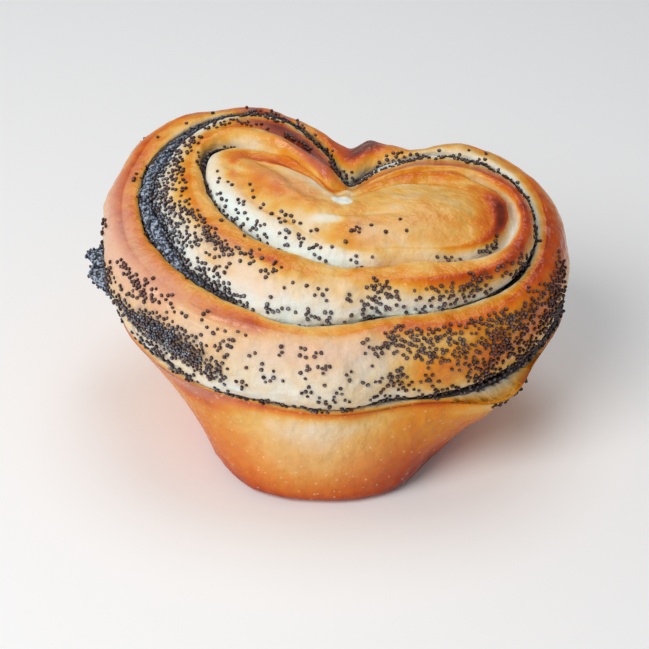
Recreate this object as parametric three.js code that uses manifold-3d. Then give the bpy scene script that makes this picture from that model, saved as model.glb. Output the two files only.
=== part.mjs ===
// A poppy seed bun: a roll of sweet dough, cut and opened into a heart, baked golden.
//
// The bun stands on a flat foot. Its front is the smooth outer skin of the roll. Above that skin
// the cut layers lie in nested heart-shaped rings, each a soft ridge with a crease behind it,
// and the poppy filling runs down into the bun at each crease.
//
// Everything is laid out along spokes from one upright line inside the heart. Every fold line is a
// closed ring: its reach along each spoke, and the tilted plane that it lies in. Between the rings
// the dough swells in Bezier arcs. Millimetres, +Z up, +X to the right of a person who looks at the
// tip of the heart, +Y from the tip to the notch. The origin is under the middle of the bun.
import * as THREE from 'three';
import { mergeVertices } from 'three/addons/utils/BufferGeometryUtils.js';
import Module from 'manifold-3d';

const wasm = await Module();
wasm.setup();

// The upright line that the spokes start from, and how far the tip of the heart is from it.
const HUB = { x: 3.1, y: -9.4 };
const TIP_REACH = 29;

// Spokes in degrees: 0 points at the notch, 90 to the right, 180 at the tip, -90 to the left.
const SPOKES = [-150, -120, -95, -72, -52, -36, -22, -10, 0, 10, 22, 36, 52, 72, 95, 120, 150, 180];
const NOTCH_SPREAD = 17;

// Fold lines from the foot up. Reach is along SPOKES. Height is that over the tip of the heart,
// plus the rise for each mm towards the notch, less the dip in the notch itself.
const FOLDS = {
  foot: {
    reach: [32.5, 30, 29.5, 32, 37, 39, 35, 31, 28, 29, 33, 37, 38, 35, 30.5, 27, 29.5, 30.5],
    height: 0, rise: 0, dip: 0,
  },
  seam: {
    reach: [32, 40, 47, 51.3, 56, 55.5, 50, 43, 38.5, 40, 41, 47, 53, 53.8, 45.3, 37, 29, 29.5],
    height: 25, rise: 0.1, dip: 0,
  },
  rim: {
    reach: [28.7, 36.7, 45.8, 51.8, 55.5, 53.2, 48.4, 41.7, 36.5, 38, 37.6, 44.6, 48.6, 47, 41.5, 34, 24.6, 25.5],
    height: 40.5, rise: 0.22, dip: 3.5,
  },
  outerCrease: {
    reach: [24.4, 29.8, 38.8, 47.2, 50.1, 49.4, 45.6, 37, 26.1, 29.8, 33.1, 39.7, 44, 43.8, 38.5, 28.5, 20.7, 20.8],
    height: 38.5, rise: 0.25, dip: 5,
  },
  ridge: {
    reach: [17.1, 20.9, 28.6, 36.2, 40.8, 36.5, 25.3, 20.8, 15.7, 14.1, 16.2, 23.9, 33, 39.2, 37.2, 27.1, 17.5, 16.1],
    height: 46.5, rise: 0.22, dip: 4,
  },
  innerCrease: {
    reach: [11.5, 14.9, 21.9, 31.9, 37.8, 27.6, 13, 11.4, 11.6, 11.7, 13.8, 20.5, 30.9, 38.2, 33, 18.1, 12.6, 11.1],
    height: 44, rise: 0.23, dip: 1.5,
  },
  core: {
    reach: [8.5, 9.7, 13.2, 24, 29.5, 17, 8.5, 7.2, 7.8, 7, 8, 12.5, 21.5, 30.9, 29.7, 15, 10.6, 9.1],
    height: 48, rise: 0.2, dip: 0,
  },
};

// How far each face swells out of the straight line from its crease to its crest, as a share of
// that line. The outer face is flatter at the right, and the middle one behind the lobes.
const SWELL = { outer: 0.3, middle: 0.26, core: 0.24 };
const FLAT_SIDE = { angle: 70, spread: 40, less: 0.16 };
const FLAT_BEHIND = { angle: 5, spread: 65, less: 0.22 };
const CREST_TILT = 0.24;

// The skin stands up as a thin lip at the seam, and as a thick roll of dough at the right of the
// tip, which hangs lower. Its underside is rounded off at the foot.
const LIP_WIDTH = 1;
const LIP_ROLL = { angle: 117, spread: 12, out: 3.2, lower: 2 };
const FOOT_ROUNDING = 1.6;

// The top inside the last crest: a long ridge on the left and a broad mound on the right.
const CENTRE_HEIGHT = 54.5;
const TOP_MOUNDS = [
  { x: -12.5, y: -0.4, turn: -38, long: 17, wide: 6, high: 2.2 },
  { x: 21.5, y: -5.4, turn: 8, long: 15, wide: 9, high: 3 },
];

// A knob of crust on the rim behind the notch.
const KNOB = { angle: 7, spread: 4, high: 1.3 };

// Each crease is the mouth of a slot that the filling lies in. The slope is that of the slot's
// way out of the bun, and the widths are of its mouth below and above the crease line.
const SLOTS = {
  seam: { slope: 18, depth: 8, below: 0.8, above: 0.8 },
  outerCrease: { slope: 62, depth: 9, below: 0.8, above: 1 },
  innerCrease: { slope: 78, depth: 8, below: 0.8, above: 0.9 },
};
const SLOT_FLOOR = 1.6;
const SHUT = 0.15;
const FILLING_GAP = 0.3;

// Where the dough has grown together again, and no filling shows. The shut inner crease is
// filled out with dough, so that the top runs on smoothly there.
const SEAM_SHUT = { within: 38, openFrom: 60 };
const INNER_SHUT = { from: -44, allShut: -32, stillShut: 52, to: 66, filledOut: 1.9 };

// Where the filling wells out of the outer crease and the seam: on the left of both. The lump
// hangs out of the seam by its own height.
const WELLING = { angle: -78, spread: 30, wide: 4.6, high: 0.9 };
const SEAM_WELLING = { angle: -112, spread: 16, wide: 2.6 };
const LUMP = { angle: -75, spread: 10, wide: 5, high: 9 };

// Each layer of filling: the crease that it fills and the angles that it runs between.
const FILLINGS = {
  poppy_filling_outer: { crease: 'seam', from: 62, to: 298 },
  poppy_filling_middle: { crease: 'outerCrease', from: -180, to: 180 },
  poppy_filling_inner: { crease: 'innerCrease', from: 68, to: 314 },
};

// Poppy seeds on the cut faces, in the patches that they fell in. A patch runs between two angles,
// and between two shares of the way up its layer's face.
const SEED_SIZE = 1.2;
const SEED_SPACING = 1.5;
const SEED_PATCHES = [
  { face: 'outer', from: 76, to: 168, low: 0.42, high: 0.88, count: 44 },
  { face: 'outer', from: 80, to: 225, low: 0.12, high: 0.4, count: 22 },
  { face: 'outer', from: 205, to: 268, low: 0.2, high: 0.75, count: 34 },
  { face: 'outer', from: 300, to: 435, low: 0.2, high: 0.8, count: 20 },
  { face: 'middle', from: 95, to: 170, low: 0.2, high: 0.8, count: 26 },
  { face: 'middle', from: 190, to: 300, low: 0.2, high: 0.75, count: 28 },
  { face: 'middle', from: 335, to: 420, low: 0.2, high: 0.6, count: 8 },
  { face: 'core', from: 95, to: 270, low: 0.3, high: 0.85, count: 12 },
];
const SEED_DRAW = 21;

// How finely the solids are cut into facets: degrees between spokes, and steps along each arc.
const COLUMN_STEP = { nearNotch: 5, elsewhere: 7, notchReach: 70 };
const FACE_STEPS = 4;
const BACK_STEPS = 2;

const DOUGH_COLOUR = 0xd9914a;
const FILLING_COLOUR = 0x2c2c36;

const radians = THREE.MathUtils.degToRad;
const smooth = THREE.MathUtils.smoothstep;

function turned(degrees) {
  return ((degrees + 540) % 360) - 180;
}

function hump(angle, place) {
  return Math.exp(-((turned(angle - place.angle) / place.spread) ** 2));
}

// A smooth closed curve through one value for each spoke.
function around(values) {
  const count = SPOKES.length;
  const gap = SPOKES.map((angle, i) => (i + 1 < count ? SPOKES[i + 1] : SPOKES[0] + 360) - angle);
  const step = values.map((value, i) => (values[(i + 1) % count] - value) / gap[i]);
  const slope = values.map((_, i) => {
    const before = (i + count - 1) % count;
    return (step[before] * gap[i] + step[i] * gap[before]) / (gap[before] + gap[i]);
  });
  return (degrees) => {
    const angle = degrees < SPOKES[0] ? degrees + 360 : degrees;
    const after = SPOKES.findIndex((spoke) => spoke > angle);
    const i = after < 0 ? count - 1 : after - 1;
    const next = (i + 1) % count;
    const t = (angle - SPOKES[i]) / gap[i];
    const rest = 1 - t;
    return (1 + 2 * t) * rest * rest * values[i] + t * rest * rest * gap[i] * slope[i]
      + t * t * (3 - 2 * t) * values[next] - t * t * rest * gap[i] * slope[next];
  };
}

const reachOf = Object.fromEntries(Object.entries(FOLDS).map(([name, fold]) => [name, around(fold.reach)]));

// A point of a fold line in the upright plane of a spoke: x is the reach, y the height.
function foldPoint(name, angle) {
  const fold = FOLDS[name];
  const reach = reachOf[name](angle);
  const fromTip = reach * Math.cos(radians(angle)) + TIP_REACH;
  const dip = fold.dip * hump(angle, { angle: 0, spread: NOTCH_SPREAD });
  let grown = 0;
  if (name === 'rim') grown = KNOB.high * hump(angle, KNOB);
  if (name === 'innerCrease') grown = INNER_SHUT.filledOut * (1 - openness(name, angle));
  return new THREE.Vector2(reach, fold.height + fold.rise * fromTip - dip + grown);
}

// How far a crease is open, from 0 to 1.
function openness(name, angle) {
  if (name === 'seam') return smooth(Math.abs(angle), SEAM_SHUT.within, SEAM_SHUT.openFrom);
  if (name === 'outerCrease') return 1;
  const closing = smooth(angle, INNER_SHUT.from, INNER_SHUT.allShut);
  const opening = smooth(angle, INNER_SHUT.stillShut, INNER_SHUT.to);
  return 1 - closing * (1 - opening);
}

// The filling's extra width below and above a crease, and how proud it stands there.
function welling(name, angle) {
  if (name === 'seam') {
    const lump = hump(angle, LUMP);
    const above = SEAM_WELLING.wide * hump(angle, SEAM_WELLING);
    return { below: LUMP.wide * lump, above, high: FILLING_GAP + LUMP.high * lump };
  }
  if (name === 'outerCrease') {
    const well = hump(angle, WELLING);
    return { below: 0, above: WELLING.wide * well, high: FILLING_GAP + WELLING.high * well };
  }
  return { below: 0, above: 0, high: FILLING_GAP };
}

// The cut of a slot by the plane of a spoke: its mouth edges and its floor edges, all moved into
// the slot by the gap.
function slotCut(name, angle, gap = 0) {
  const slot = SLOTS[name];
  const open = openness(name, angle);
  const extra = welling(name, angle);
  const out = new THREE.Vector2(Math.cos(radians(slot.slope)), Math.sin(radians(slot.slope)));
  const across = new THREE.Vector2(-out.y, out.x);
  const crease = foldPoint(name, angle);
  const at = (side, deep) => crease.clone().addScaledVector(across, side).addScaledVector(out, -deep);
  const below = Math.max(SHUT, open * slot.below) + extra.below;
  const above = Math.max(SHUT, open * slot.above) + extra.above;
  const halfFloor = Math.max(SHUT, open * SLOT_FLOOR / 2);
  const depth = Math.max(2 * SHUT, open * slot.depth);
  return {
    out,
    lower: at(gap - below, 0),
    lowerFloor: at(gap - halfFloor, depth - gap),
    upperFloor: at(halfFloor - gap, depth - gap),
    upper: at(above - gap, 0),
  };
}

function arc(from, fromPull, toPull, to, steps) {
  return new THREE.CubicBezierCurve(from, fromPull, toPull, to).getPoints(steps);
}

// The outer skin, from the foot up to the lip at the seam.
function skinArc(angle, lip) {
  const foot = foldPoint('foot', angle);
  const flare = lip.x - foot.x;
  const footPull = new THREE.Vector2(foot.x + 0.1 * flare + 2, 0.4 * lip.y);
  const lipPull = new THREE.Vector2(lip.x - 0.3 * flare, 0.72 * lip.y);
  const sole = new THREE.Vector2(foot.x - 1.4 * FOOT_ROUNDING, 0);
  return [sole, ...arc(new THREE.Vector2(foot.x, FOOT_ROUNDING), footPull, lipPull, lip, FACE_STEPS)];
}

function crestTilt(angle) {
  return new THREE.Vector2(-1, CREST_TILT * Math.abs(Math.cos(radians(angle)))).normalize();
}

// The face of a layer swells from the crease below it up to its crest.
function faceArc(from, crest, swell, angle) {
  const chord = crest.clone().sub(from);
  const outward = new THREE.Vector2(chord.y, -chord.x);
  const fromPull = from.clone().addScaledVector(chord, 0.3).addScaledVector(outward, swell);
  const crestPull = crest.clone().addScaledVector(crestTilt(angle), -0.32 * chord.length());
  return arc(from, fromPull, crestPull, crest, FACE_STEPS);
}

// Behind its crest a layer drops to the next crease.
function backArc(crest, to, angle) {
  const drop = crest.distanceTo(to);
  const overPull = crest.clone().addScaledVector(crestTilt(angle), 0.42 * drop);
  const toPull = to.clone().add(new THREE.Vector2(0.1 * drop, 0.42 * drop));
  return arc(crest, overPull, toPull, to, BACK_STEPS).slice(1);
}

// A point of the top, a share of the way out from the middle to the last crest.
function topPoint(angle, share) {
  const crest = foldPoint('core', angle);
  const reach = crest.x * share;
  const place = new THREE.Vector2(HUB.x + reach * Math.sin(radians(angle)), HUB.y + reach * Math.cos(radians(angle)));
  let height = THREE.MathUtils.lerp(CENTRE_HEIGHT, crest.y, share * share);
  for (const mound of TOP_MOUNDS) {
    const middle = new THREE.Vector2(mound.x, mound.y);
    const away = place.clone().rotateAround(middle, -radians(mound.turn)).sub(middle);
    height += mound.high * (1 - share ** 4) * Math.exp(-((away.x / mound.long) ** 2) - (away.y / mound.wide) ** 2);
  }
  return new THREE.Vector2(reach, height);
}

// The outline of the dough in the plane of a spoke, arc by arc from the foot to the top.
function doughArcs(angle) {
  const seam = slotCut('seam', angle);
  const outerSlot = slotCut('outerCrease', angle);
  const innerSlot = slotCut('innerCrease', angle);
  const rim = foldPoint('rim', angle);
  const ridge = foldPoint('ridge', angle);
  const core = foldPoint('core', angle);
  const roll = hump(angle, LIP_ROLL);
  const lip = seam.lower.clone().add(new THREE.Vector2(LIP_WIDTH + LIP_ROLL.out * roll, -LIP_ROLL.lower * roll));
  const outerSwell = SWELL.outer - FLAT_SIDE.less * hump(angle, FLAT_SIDE);
  const middleSwell = SWELL.middle - FLAT_BEHIND.less * hump(angle, FLAT_BEHIND);
  return {
    skin: skinArc(angle, lip),
    seam: [seam.lower, seam.lowerFloor, seam.upperFloor],
    outer: faceArc(seam.upper, rim, outerSwell, angle),
    outerBack: backArc(rim, outerSlot.lower, angle),
    outerSlot: [outerSlot.lowerFloor, outerSlot.upperFloor],
    middle: faceArc(outerSlot.upper, ridge, middleSwell, angle),
    middleBack: backArc(ridge, innerSlot.lower, angle),
    innerSlot: [innerSlot.lowerFloor, innerSlot.upperFloor],
    core: faceArc(innerSlot.upper, core, SWELL.core, angle),
    top: [topPoint(angle, 0.7), topPoint(angle, 0.4)],
  };
}

function placed(point, angle) {
  return new THREE.Vector3(
    HUB.x + point.x * Math.sin(radians(angle)),
    HUB.y + point.x * Math.cos(radians(angle)),
    point.y,
  );
}

// The angles of the facets' edges, all round. They are closer together round the notch.
function facetAngles() {
  const angles = [];
  let angle = -180;
  while (angle < 180) {
    angles.push(angle);
    const near = Math.abs(angle) < COLUMN_STEP.notchReach;
    angle += near ? COLUMN_STEP.nearNotch : COLUMN_STEP.elsewhere;
  }
  return angles;
}

function geometryOf(points, faces) {
  const geometry = new THREE.BufferGeometry();
  geometry.setAttribute('position', new THREE.Float32BufferAttribute(points.flatMap((point) => point.toArray()), 3));
  geometry.setIndex(faces.flat());
  return geometry;
}

function quad(a, b, c, d) {
  return [[a, b, c], [a, c, d]];
}

function doughGeometry() {
  const angles = facetAngles();
  const outlines = angles.map((angle) => (
    Object.values(doughArcs(angle)).flat().map((point) => placed(point, angle))));
  const rows = outlines[0].length;
  const middles = [new THREE.Vector3(HUB.x, HUB.y, 0), new THREE.Vector3(HUB.x, HUB.y, CENTRE_HEIGHT)];
  const index = (column, row) => 2 + (column % angles.length) * rows + row;
  const faces = [];
  for (let column = 0; column < angles.length; column += 1) {
    faces.push([0, index(column, 0), index(column + 1, 0)]);
    for (let row = 0; row + 1 < rows; row += 1) {
      faces.push(...quad(index(column, row), index(column, row + 1), index(column + 1, row + 1), index(column + 1, row)));
    }
    faces.push([1, index(column + 1, rows - 1), index(column, rows - 1)]);
  }
  return geometryOf([...middles, ...outlines.flat()], faces);
}

// The filling of one crease in the plane of a spoke. Its mouth is beaded by the seeds in it.
function fillingOutline(name, angle, column) {
  const cut = slotCut(name, angle, FILLING_GAP);
  const { high } = welling(name, angle);
  const bead = column % 2 ? SEED_SIZE / 2 : SEED_SIZE / 6;
  const mouth = (share, rise) => cut.lower.clone().lerp(cut.upper, share).addScaledVector(cut.out, rise);
  return [
    mouth(0.25, high + SEED_SIZE / 2 - bead), mouth(0.75, high + bead),
    cut.upper, cut.upperFloor, cut.lowerFloor, cut.lower,
  ];
}

// A filling that runs all round closes on itself, and any other has a flat end at each side.
function fillingGeometry({ crease, from, to }) {
  const whole = to - from === 360;
  const along = (angle) => (angle - from + 720) % 360;
  const angles = facetAngles().filter((angle) => along(angle) <= to - from);
  angles.sort((one, other) => along(one) - along(other));
  const outlines = angles.map((angle, column) => (
    fillingOutline(crease, angle, column).map((point) => placed(point, angle))));
  const rows = outlines[0].length;
  const last = angles.length - 1;
  const index = (column, row) => (column % angles.length) * rows + (row % rows);
  const faces = [];
  for (let column = 0; column < (whole ? last + 1 : last); column += 1) {
    for (let row = 0; row < rows; row += 1) {
      faces.push(...quad(index(column, row + 1), index(column + 1, row + 1), index(column + 1, row), index(column, row)));
    }
  }
  for (let row = 1; !whole && row + 1 < rows; row += 1) {
    faces.push([index(0, 0), index(0, row + 1), index(0, row)]);
    faces.push([index(last, 0), index(last, row), index(last, row + 1)]);
  }
  return geometryOf(outlines.flat(), faces);
}

// Repeatable random numbers from 0 to 1.
function randomDraws(start) {
  let state = start;
  return () => {
    state = (state * 1664525 + 1013904223) % 4294967296;
    return state / 4294967296;
  };
}

// A place on the flat facets of a layer's face, with the way out of the dough there.
function facePlace(face, angle, share) {
  const edges = [...facetAngles(), 180];
  const along = turned(angle);
  const column = edges.findLastIndex((edge) => edge <= along);
  const sides = edges.slice(column, column + 2);
  const step = Math.min(FACE_STEPS - 1, Math.floor(share * FACE_STEPS));
  const up = share * FACE_STEPS - step;
  const across = (along - sides[0]) / (sides[1] - sides[0]);
  const [left, right] = sides.map((side) => (
    doughArcs(side)[face].slice(step, step + 2).map((point) => placed(point, side))));
  const low = left[0].clone().lerp(right[0], across);
  const high = left[1].clone().lerp(right[1], across);
  return low.lerp(high, up);
}

// Each patch gets its seeds at random places that keep clear of the seeds before them.
function seedPlaces(draw) {
  const places = [];
  for (const patch of SEED_PATCHES) {
    const full = places.length + patch.count;
    while (places.length < full) {
      const angle = patch.from + draw() * (patch.to - patch.from);
      const share = patch.low + draw() * (patch.high - patch.low);
      const place = facePlace(patch.face, angle, share);
      if (places.every((other) => other.distanceTo(place) > SEED_SPACING)) places.push(place);
    }
  }
  return places;
}

function solidOf(geometry) {
  const bare = geometry.clone();
  bare.deleteAttribute('normal');
  bare.deleteAttribute('uv');
  const merged = mergeVertices(bare);
  return new wasm.Manifold(new wasm.Mesh({
    numProp: 3,
    vertProperties: Float32Array.from(merged.attributes.position.array),
    triVerts: Uint32Array.from(merged.index.array),
  }));
}

function geometryFrom(solid) {
  const mesh = solid.getMesh();
  const geometry = new THREE.BufferGeometry();
  geometry.setAttribute('position', new THREE.Float32BufferAttribute(mesh.vertProperties, 3));
  geometry.setIndex(new THREE.Uint32BufferAttribute(mesh.triVerts, 1));
  return geometry;
}

// A seed is a rough ball, turned at random and half sunk in the dough.
function seedSolid(place, draw) {
  const seed = new THREE.IcosahedronGeometry(SEED_SIZE / 2);
  seed.rotateX(draw() * Math.PI);
  seed.rotateZ(draw() * Math.PI);
  seed.translate(...place.toArray());
  return solidOf(seed);
}

function seededDough() {
  const draw = randomDraws(SEED_DRAW);
  const seeds = seedPlaces(draw).map((place) => seedSolid(place, draw));
  return geometryFrom(wasm.Manifold.union([solidOf(doughGeometry()), ...seeds]));
}

function named(name, geometry, color, roughness) {
  const mesh = new THREE.Mesh(geometry, new THREE.MeshStandardMaterial({ color, roughness, metalness: 0 }));
  mesh.name = name;
  return mesh;
}

const bun = new THREE.Group();
bun.add(named('bun_dough', seededDough(), DOUGH_COLOUR, 0.45));
for (const [name, filling] of Object.entries(FILLINGS)) {
  bun.add(named(name, fillingGeometry(filling), FILLING_COLOUR, 0.8));
}

export default bun;
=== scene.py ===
import itertools
import math

import bpy
import numpy as np
from mathutils import Matrix, Vector


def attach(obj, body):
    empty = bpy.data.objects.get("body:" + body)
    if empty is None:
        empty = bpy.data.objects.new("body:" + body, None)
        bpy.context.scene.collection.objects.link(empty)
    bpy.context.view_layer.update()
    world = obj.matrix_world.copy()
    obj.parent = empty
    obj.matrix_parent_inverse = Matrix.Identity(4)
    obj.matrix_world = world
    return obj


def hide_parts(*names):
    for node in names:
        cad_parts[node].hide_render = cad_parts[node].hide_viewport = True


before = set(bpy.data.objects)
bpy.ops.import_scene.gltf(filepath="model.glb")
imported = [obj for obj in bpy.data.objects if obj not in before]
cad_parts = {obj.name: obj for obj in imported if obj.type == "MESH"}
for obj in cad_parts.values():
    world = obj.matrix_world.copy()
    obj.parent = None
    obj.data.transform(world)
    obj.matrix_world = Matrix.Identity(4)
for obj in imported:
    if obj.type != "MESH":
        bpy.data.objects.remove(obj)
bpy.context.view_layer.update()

MM = 0.001

# The fold lines of the bun, as in the solids: the line that the spokes start from, the spokes in
# degrees (0 at the notch, 90 to the right, 180 at the tip), and each fold's reach along them.
HUB = (3.1, -9.4)
TIP_REACH = 29
SPOKES = np.array([-150, -120, -95, -72, -52, -36, -22, -10, 0,
                   10, 22, 36, 52, 72, 95, 120, 150, 180], float)
NOTCH_SPREAD = 17
FOLDS = {
    "foot": dict(
        reach=[32.5, 30, 29.5, 32, 37, 39, 35, 31, 28,
               29, 33, 37, 38, 35, 30.5, 27, 29.5, 30.5],
        height=0, rise=0, dip=0),
    "seam": dict(
        reach=[32, 40, 47, 51.3, 56, 55.5, 50, 43, 38.5,
               40, 41, 47, 53, 53.8, 45.3, 37, 29, 29.5],
        height=25, rise=0.1, dip=0),
    "rim": dict(
        reach=[28.7, 36.7, 45.8, 51.8, 55.5, 53.2, 48.4, 41.7, 36.5,
               38, 37.6, 44.6, 48.6, 47, 41.5, 34, 24.6, 25.5],
        height=40.5, rise=0.22, dip=3.5),
    "outer_crease": dict(
        reach=[24.4, 29.8, 38.8, 47.2, 50.1, 49.4, 45.6, 37, 26.1,
               29.8, 33.1, 39.7, 44, 43.8, 38.5, 28.5, 20.7, 20.8],
        height=38.5, rise=0.25, dip=5),
    "ridge": dict(
        reach=[17.1, 20.9, 28.6, 36.2, 40.8, 36.5, 25.3, 20.8, 15.7,
               14.1, 16.2, 23.9, 33, 39.2, 37.2, 27.1, 17.5, 16.1],
        height=46.5, rise=0.22, dip=4),
    "inner_crease": dict(
        reach=[11.5, 14.9, 21.9, 31.9, 37.8, 27.6, 13, 11.4, 11.6,
               11.7, 13.8, 20.5, 30.9, 38.2, 33, 18.1, 12.6, 11.1],
        height=44, rise=0.23, dip=1.5),
    "core": dict(
        reach=[8.5, 9.7, 13.2, 24, 29.5, 17, 8.5, 7.2, 7.8,
               7, 8, 12.5, 21.5, 30.9, 29.7, 15, 10.6, 9.1],
        height=48, rise=0.2, dip=0),
}
SWELL = dict(outer=0.3, middle=0.26, core=0.24)
FLAT_SIDE = dict(angle=70, spread=40, less=0.16)
CREST_TILT = 0.24
LIP_WIDTH = 1
LIP_ROLL = dict(angle=117, spread=12, out=3.2, lower=2)
FOOT_ROUNDING = 1.6
CENTRE_HEIGHT = 54.5
TOP_MOUNDS = [
    dict(x=-12.5, y=-0.4, turn=-38, long=17, wide=6, high=2.2),
    dict(x=21.5, y=-5.4, turn=8, long=15, wide=9, high=3),
]
KNOB = dict(angle=7, spread=4, high=1.3)
INNER_FILL = 1.9
FLAT_BEHIND = dict(angle=5, spread=65, less=0.22)
SLOTS = {
    "seam": dict(slope=18, depth=8, below=0.8, above=0.8),
    "outer_crease": dict(slope=62, depth=9, below=0.8, above=1),
    "inner_crease": dict(slope=78, depth=8, below=0.8, above=0.9),
}
SLOT_FLOOR = 1.6
SHUT = 0.15
WELLING = dict(angle=-78, spread=30, wide=4.6, high=0.9)
SEAM_WELLING = dict(angle=-112, spread=16, wide=2.6)
LUMP = dict(angle=-75, spread=10, wide=5, high=9)

# How much of each slot's mouth stays open on the finished surface, along the spokes: its soft edges
# close over the filling at the tip, and leave it bare at the left and behind the lobes.
BARED = {
    "seam": [0.05, 0.1, 0.35, 1, 0.8, 0.5, 0.4, 0.4, 0.4,
             0.4, 0.4, 0.5, 0.8, 1, 1, 0.75, 0.1, 0.05],
    "outer_crease": [0.1, 0.6, 1, 1, 1, 1, 1, 0.8, 0.6,
                     0.4, 0.3, 0.25, 0.25, 0.25, 0.25, 0.2, 0.05, 0.05],
    "inner_crease": [0.05, 0.2, 0.4, 0.5, 0.35, 0.1, 0, 0, 0,
                     0, 0, 0, 0, 0, 0, 0.05, 0.05, 0.05],
}
PASTE_GAP = 0.05

# The bands of paste: from and to in degrees along their creases, a step every so many degrees, and
# so many points across the mouth. Where a mouth is shut, the paste is drawn in by so many mm. It
# stands a little proud elsewhere, swells unevenly, and is grainy where it has welled out, which it
# has fully where that makes it wider by WELLED_WIDTH.
BANDS = {
    "outer": ("seam", 62, 298),
    "middle": ("outer_crease", -180, 180),
    "inner": ("inner_crease", 68, 314),
}
BAND_STEP = 0.8
MOUTH_POINTS = 15
DRAWN_IN = 2.2
PASTE = dict(proud=0.25, swell=0.2, swell_long=4, grain=0.3, grain_long=1.6)
WELLED_WIDTH = 2.6

# The seeds packed in a mouth: how far they are drawn in, how many are tried, and the width of mouth
# that they fill. None lie where the crease has healed over behind the right lobe, and the lump is
# mostly bare of them.
PACKED = dict(drawn_in=0.1, count=3500, fills=0.75, bare_lump=0.75)
RIGHT_LOBE = dict(angle=82, spread=34)

# How much of what has welled out above each crease stays bare, with dough smeared over the rest. Then
# how the dough's edges turn in at a mouth: over what length, how far at least, and how much further
# where it is bare.
SMEARED = dict(seam=0.1, outer_crease=0.34, inner_crease=1)
MOUTH_ROUNDING = 0.9
MOUTH_PULL = dict(least=0.16, bare=0.66)

# Where the inner crease has healed over behind the right lobe, and how the dough is drawn smooth over
# it: how often, how strongly, and how many rows beyond it.
HEALED = dict(angle=80, spread=24, passes=30, share=0.5, rows=4)

# Fineness of the dough: columns round the bun, and rows along each arc of its outline. Points closer
# than MERGED are joined.
COLUMNS = 440
MERGED = 0.002
ROWS = dict(sole=4, skin=44, seam=4, outer=42, outer_back=14, outer_slot=3, middle=32, middle_back=9,
            inner_slot=3, core=14, top=26)

# The seeds: the length of one at full size in mm, the smallest and largest to it, how far apart
# their middles lie at least, loose or packed, the length, width and height of one to its length, how
# much it curves, how bright the painted highlight on its top may be, and how far those that lie
# together spread. A ground one is smaller by a share.
SEED_LONG = 1.04
SEED_SIZES = (0.74, 1.06)
SEED_GAP = 0.64 * SEED_LONG
PACKED_GAP = 0.66 * SEED_LONG
SEED_SHAPE = (1, 0.86, 0.76)
SEED_CURVE = 0.35
SEED_SHINE = (0.4, 1.2)
CLUSTER_SPREAD = 0.38 * SEED_LONG
GROUND_SMALLER = 0.3

# How brown a loose seed is, from 0 to 1: on raw dough, how much more where the dough is baked, how
# much less where it is ground, and how much it varies.
SEED_TINT = dict(raw=0.35, baked=0.9, ground=1.6, varies=0.1)


def turned(angle):
    return (np.asarray(angle, float) + 540) % 360 - 180


def hump(angle, place):
    return np.exp(-((turned(angle - place["angle"]) / place["spread"]) ** 2))


def smooth(value, low, high):
    t = np.clip((value - low) / (high - low), 0, 1)
    return t * t * (3 - 2 * t)


def around(values):
    """A smooth closed curve through one value for each spoke."""
    values = np.array(values, float)
    gap = np.diff(np.append(SPOKES, SPOKES[0] + 360))
    before = np.roll(gap, 1)
    step = (np.roll(values, -1) - values) / gap
    slope = (np.roll(step, 1) * gap + step * before) / (before + gap)

    def curve(angle):
        angle = np.where(angle < SPOKES[0], angle + 360, angle)
        i = np.clip(np.searchsorted(SPOKES, angle, side="right") - 1, 0, len(SPOKES) - 1)
        after = (i + 1) % len(SPOKES)
        t = (angle - SPOKES[i]) / gap[i]
        rest = 1 - t
        return (
            (1 + 2 * t) * rest * rest * values[i] + t * rest * rest * gap[i] * slope[i]
            + t * t * (3 - 2 * t) * values[after] - t * t * rest * gap[i] * slope[after]
        )

    return curve


REACH = {name: around(fold["reach"]) for name, fold in FOLDS.items()}


def fold_point(name, angle):
    """Reach and height of a fold line over each angle."""
    fold = FOLDS[name]
    reach = REACH[name](angle)
    from_tip = reach * np.cos(np.radians(angle)) + TIP_REACH
    grown = KNOB["high"] * hump(angle, KNOB) if name == "rim" else 0
    if name == "inner_crease":
        grown = INNER_FILL * (1 - openness(name, angle))
    dip = fold["dip"] * hump(angle, dict(angle=0, spread=NOTCH_SPREAD))
    return np.stack([reach, fold["height"] + fold["rise"] * from_tip - dip + grown], -1)


def openness(name, angle):
    """How far a crease is open, from 0 to 1."""
    if name == "seam":
        return smooth(np.abs(angle), 38, 60)
    if name == "outer_crease":
        return np.ones_like(angle)
    return 1 - smooth(angle, -44, -32) * (1 - smooth(angle, 52, 66))


def welling(name, angle):
    """The filling's extra width below and above a crease, and how proud it stands there."""
    none = np.zeros_like(angle)
    if name == "seam":
        lump = hump(angle, LUMP)
        return LUMP["wide"] * lump, SEAM_WELLING["wide"] * hump(angle, SEAM_WELLING), LUMP["high"] * lump
    if name == "outer_crease":
        well = hump(angle, WELLING)
        return none, WELLING["wide"] * well, WELLING["high"] * well
    return none, none, none


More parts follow.
